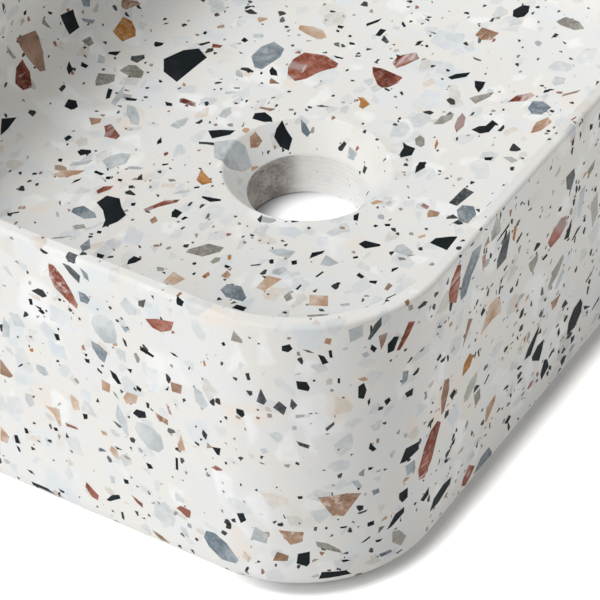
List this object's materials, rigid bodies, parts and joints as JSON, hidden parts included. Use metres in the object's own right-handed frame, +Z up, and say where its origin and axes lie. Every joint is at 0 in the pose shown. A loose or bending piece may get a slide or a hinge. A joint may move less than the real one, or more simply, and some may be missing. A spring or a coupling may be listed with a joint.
{
  "type": "vessel basin",
  "caption": "Rectangular counter-top vessel basin with round corners, a deep coved bowl, a countersunk waste hole and coloured stones set flush in a pale binder.",
  "frame": {"origin": "on the axis of the waste hole, at the level of the underside", "axes": "+X along the basin's length, +Y across it, +Z up out of the bowl"},
  "size_m": [0.355, 0.25, 0.118],
  "materials": {
    "binder": "satin polished cement terrazzo",
    "black_stone": "satin",
    "slate_stone": "satin",
    "blue_grey_stone": "satin",
    "pale_grey_stone": "satin",
    "white_marble": "satin",
    "red_stone": "satin",
    "salmon_stone": "satin",
    "peach_stone": "satin",
    "ochre_stone": "satin",
    "tan_stone": "satin",
    "taupe_stone": "satin",
    "sage_stone": "satin"
  },
  "bodies": {
    "root": {"basin_body": "binder", "black_stones": "black_stone", "slate_stones": "slate_stone", "blue_grey_stones": "blue_grey_stone", "pale_grey_stones": "pale_grey_stone", "white_marble_stones": "white_marble", "red_stones": "red_stone", "salmon_stones": "salmon_stone", "peach_stones": "peach_stone", "ochre_stones": "ochre_stone", "tan_stones": "tan_stone", "taupe_stones": "taupe_stone", "sage_stones": "sage_stone"}
  },
  "joints": []
}
